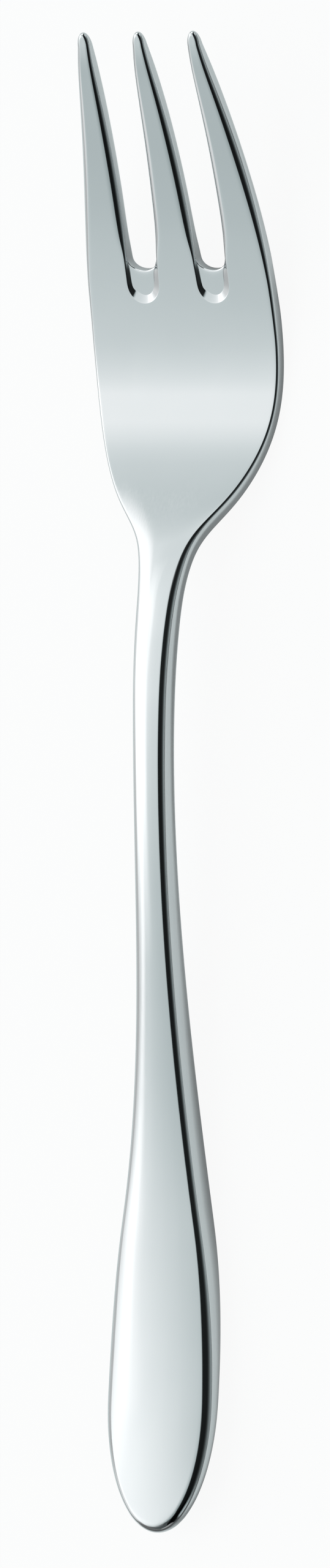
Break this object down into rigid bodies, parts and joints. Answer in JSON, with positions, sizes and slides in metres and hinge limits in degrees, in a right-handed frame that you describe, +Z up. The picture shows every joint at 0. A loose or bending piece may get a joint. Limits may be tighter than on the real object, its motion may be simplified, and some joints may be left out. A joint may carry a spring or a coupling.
{
  "type": "fish fork",
  "caption": "Forged fish fork with tapering tines, broad curved palm, slender arched neck and a flared round-ended handle, mirror polished.",
  "frame": {"origin": "middle of the length and width, on the table that the palm and the handle rest on", "axes": "+Y from the handle to the tine tips, +Z up out of the front face, +X to the right seen from above with the tips away"},
  "size_m": [0.027, 0.185, 0.0146],
  "materials": {
    "polished_steel": "mirror-polished stainless steel with fine use marks"
  },
  "bodies": {
    "root": {"fork": "polished_steel"}
  },
  "joints": []
}
